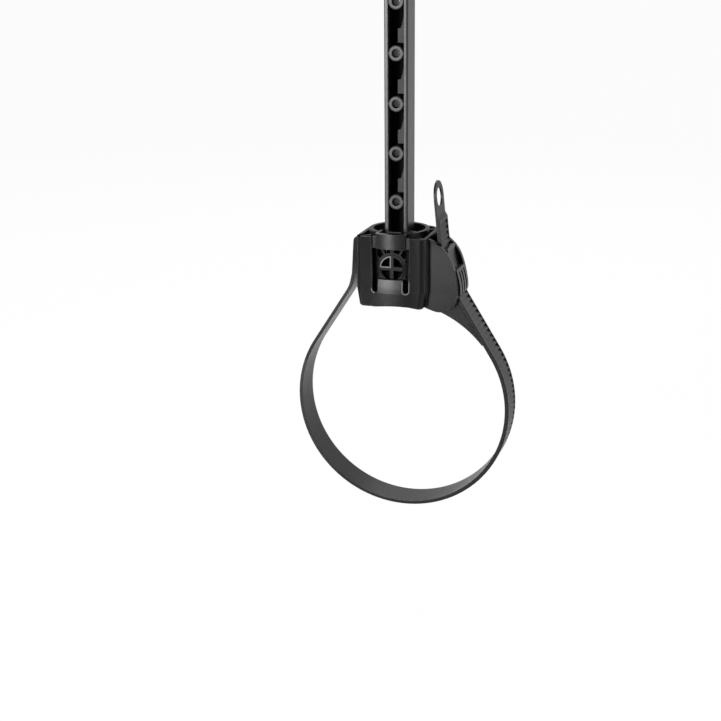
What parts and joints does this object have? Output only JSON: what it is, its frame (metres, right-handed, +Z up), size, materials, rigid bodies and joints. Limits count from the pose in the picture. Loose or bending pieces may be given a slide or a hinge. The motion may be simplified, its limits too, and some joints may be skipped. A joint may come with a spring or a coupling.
{
  "type": "zip_tie_pipe_hanger",
  "caption": "Plastic pipe hanger: notched rod, saddle with snap finger and collar, and a toothed strap that loops under the pipe and locks at the side.",
  "frame": {"origin": "centre of the pipe loop, in the middle plane of the strap", "axes": "+Z up along the hanger rod, Y along the pipe, X across it towards the lock lobe"},
  "size_m": [0.119, 0.0372, 0.3101],
  "materials": {
    "rod_plastic": "satin",
    "collar_plastic": "satin",
    "saddle_plastic": "satin"
  },
  "bodies": {
    "rod": {"hanger_rod": "rod_plastic"},
    "saddle": {"strap_saddle": "saddle_plastic", "rod_collar": "collar_plastic"}
  },
  "joints": [
    {"name": "rod_slide", "type": "slide", "parent": "rod", "child": "saddle", "axis": [0, 0, 1], "range_m": [0, 0.0125]}
  ]
}
